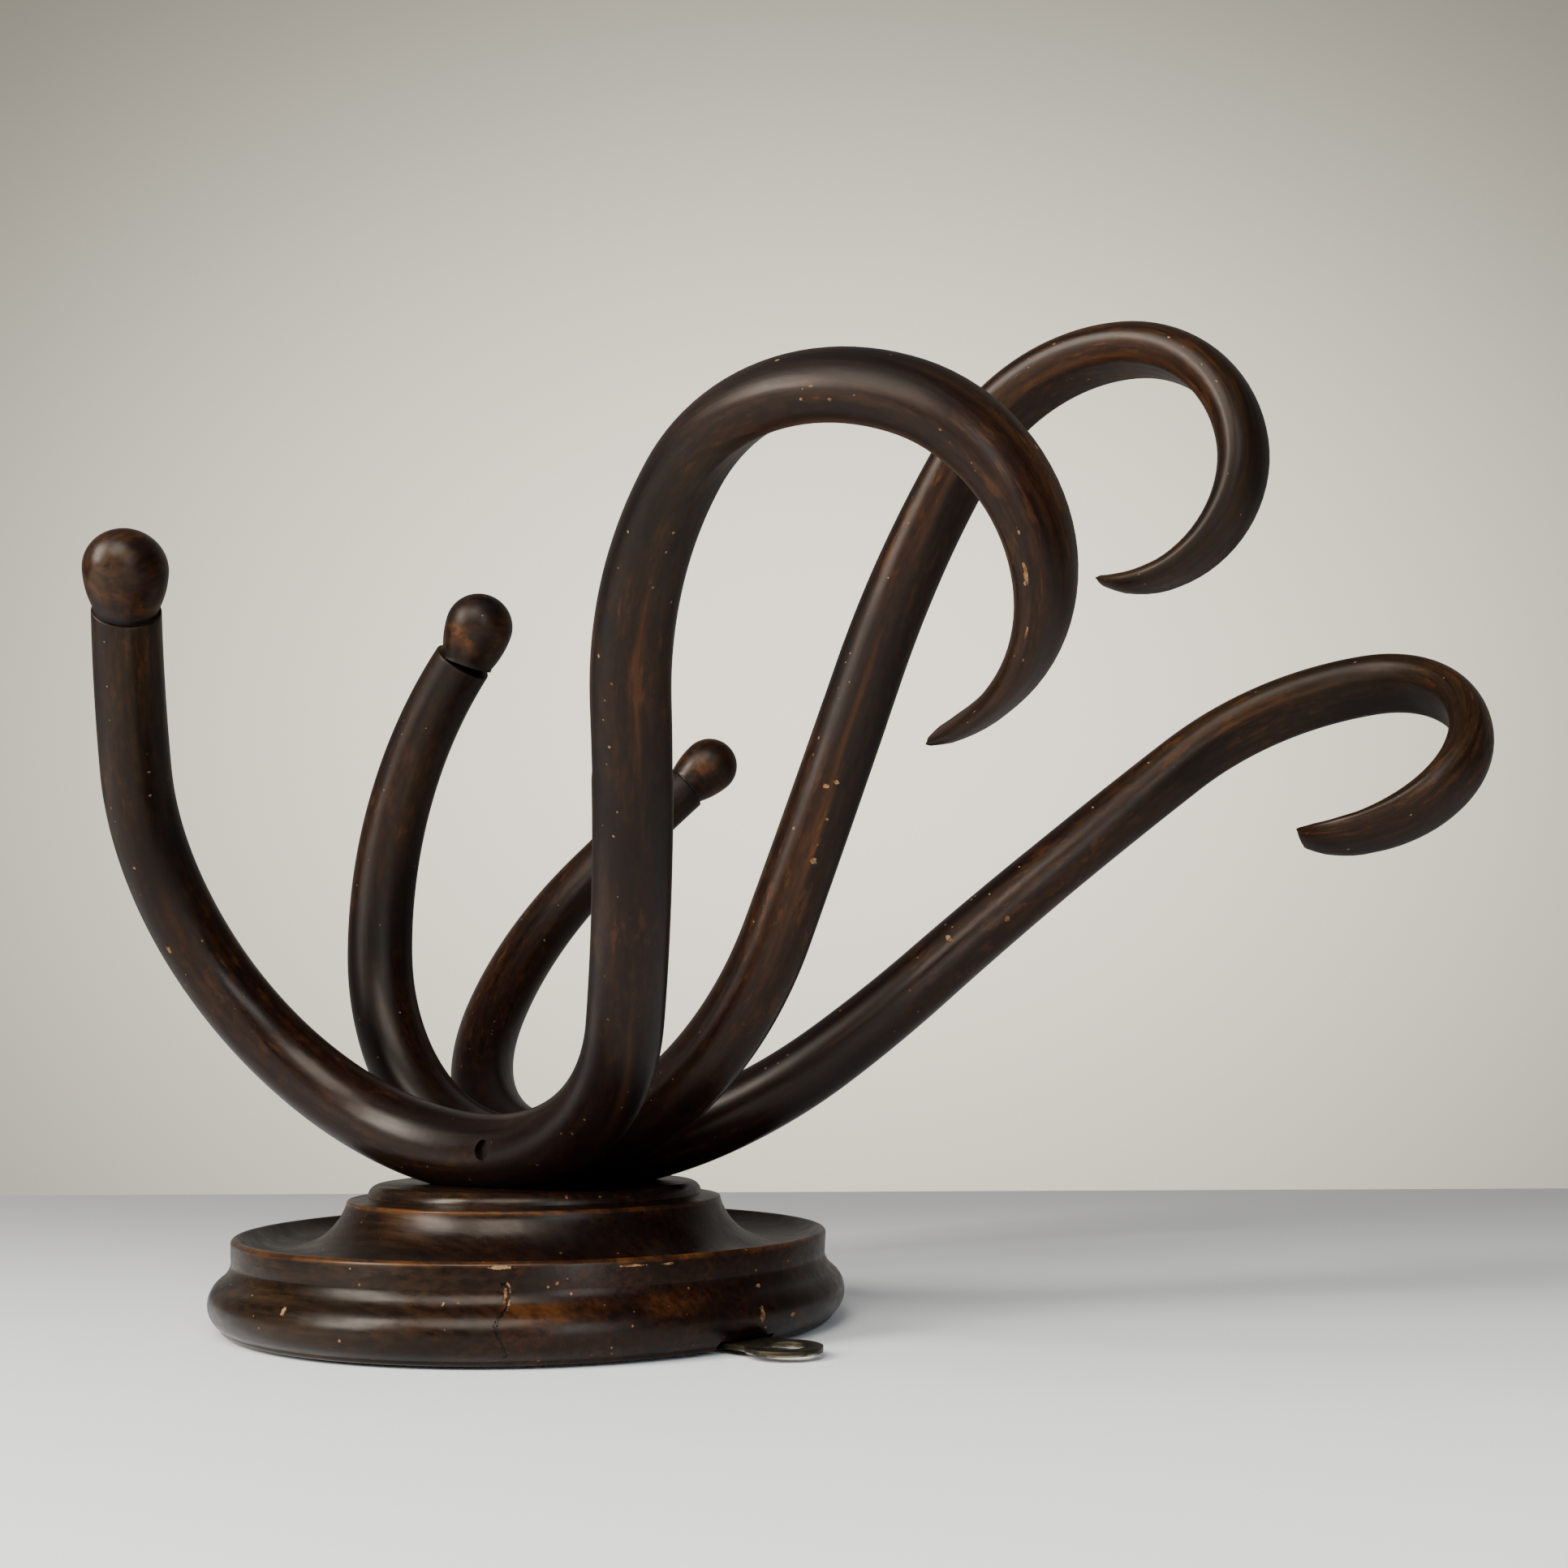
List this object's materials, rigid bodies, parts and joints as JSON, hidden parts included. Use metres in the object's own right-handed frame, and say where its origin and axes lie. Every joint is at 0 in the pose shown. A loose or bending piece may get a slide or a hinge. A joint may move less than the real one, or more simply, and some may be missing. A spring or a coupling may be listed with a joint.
{
  "type": "wall hat and coat rack",
  "caption": "Bentwood wall rack: rods bent to a balled coat hook and a scrolled hat hook, side by side on a round turned block.",
  "frame": {"origin": "centre of the round block's flat back, which lies on the wall", "axes": "+Z out of the wall, +X up when the rack hangs (towards the scrolled hat hooks and the hanging eye), +Y towards the left-hand arm"},
  "size_m": [0.3645, 0.2962, 0.2662],
  "materials": {
    "stained_beech_rod": "satin French polish over dark stain, worn along the edges",
    "stained_beech_block": "satin French polish over dark stain, rubbed brown on the arrises",
    "stained_beech_ball": "satin French polish over dark stain",
    "screw_steel": "old dull steel",
    "eye_brass": "tarnished brass"
  },
  "bodies": {
    "root": {"rose": "stained_beech_block", "arm_right": "stained_beech_rod", "arm_middle": "stained_beech_rod", "arm_left": "stained_beech_rod", "ball_right": "stained_beech_ball", "ball_middle": "stained_beech_ball", "ball_left": "stained_beech_ball", "back_screw_right": "screw_steel", "back_screw_middle": "screw_steel", "back_screw_left": "screw_steel", "side_screw_right": "screw_steel", "side_screw_left": "screw_steel", "hanging_plate": "eye_brass", "plate_screw_top": "screw_steel", "plate_screw_bottom": "screw_steel"}
  },
  "joints": []
}
